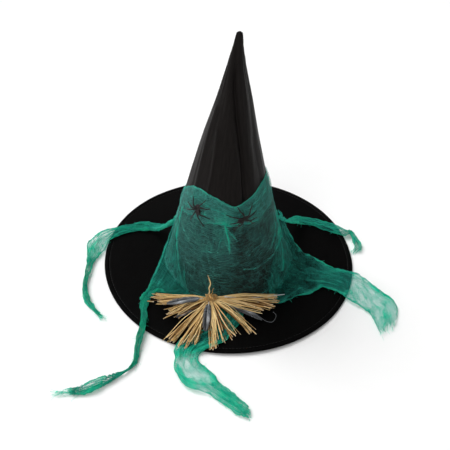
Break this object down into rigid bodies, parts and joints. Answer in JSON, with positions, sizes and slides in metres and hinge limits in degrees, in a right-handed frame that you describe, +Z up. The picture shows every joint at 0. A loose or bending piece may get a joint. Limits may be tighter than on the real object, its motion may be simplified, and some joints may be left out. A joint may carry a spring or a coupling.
{
  "type": "witch hat",
  "caption": "Pointed black costume hat with a wide wired brim, torn green gauze wrap and tails, a straw bow with feathers and plastic spiders.",
  "frame": {"origin": "centre of the head opening, in the plane that the brim's underside rests on", "axes": "+Z up to the tip, -Y the front where the bow sits, +X the hat's side that is on the right seen from the front"},
  "size_m": [0.4735, 0.4887, 0.4],
  "materials": {
    "satin": "satin",
    "lining": "matte",
    "tape": "satin",
    "felt": "matte",
    "wire": "satin",
    "thread": "satin",
    "ribbon": "satin",
    "gauze": "matte",
    "spider_plastic": "gloss",
    "straw": "satin",
    "feather": "satin"
  },
  "bodies": {
    "root": {"crown_shell": "satin", "crown_interlining": "lining", "crown_seam_tape": "tape", "brim_top_cover": "satin", "brim_under_cover": "satin", "brim_stiffener": "felt", "brim_wire": "wire", "brim_wire_sleeve": "wire", "hem_stitches": "thread", "sweatband": "ribbon", "gauze_wrap": "gauze", "gauze_collar": "gauze", "gauze_tail_back_left": "gauze", "gauze_tail_front_left": "gauze", "gauze_tail_front": "gauze", "gauze_tail_right_front": "gauze", "gauze_tail_right_back": "gauze", "spider_left": "spider_plastic", "spider_right": "spider_plastic", "straw_left_upper": "straw", "straw_left_lower": "straw", "straw_bottom_left": "straw", "straw_bottom_centre": "straw", "straw_bottom_right": "straw", "straw_right_lower": "straw", "straw_right_upper": "straw", "straw_binding": "straw", "straw_tie_end": "straw", "feather_left": "feather", "feather_left_small": "feather", "feather_centre": "feather", "feather_right": "feather", "bow_threads": "thread"}
  },
  "joints": []
}
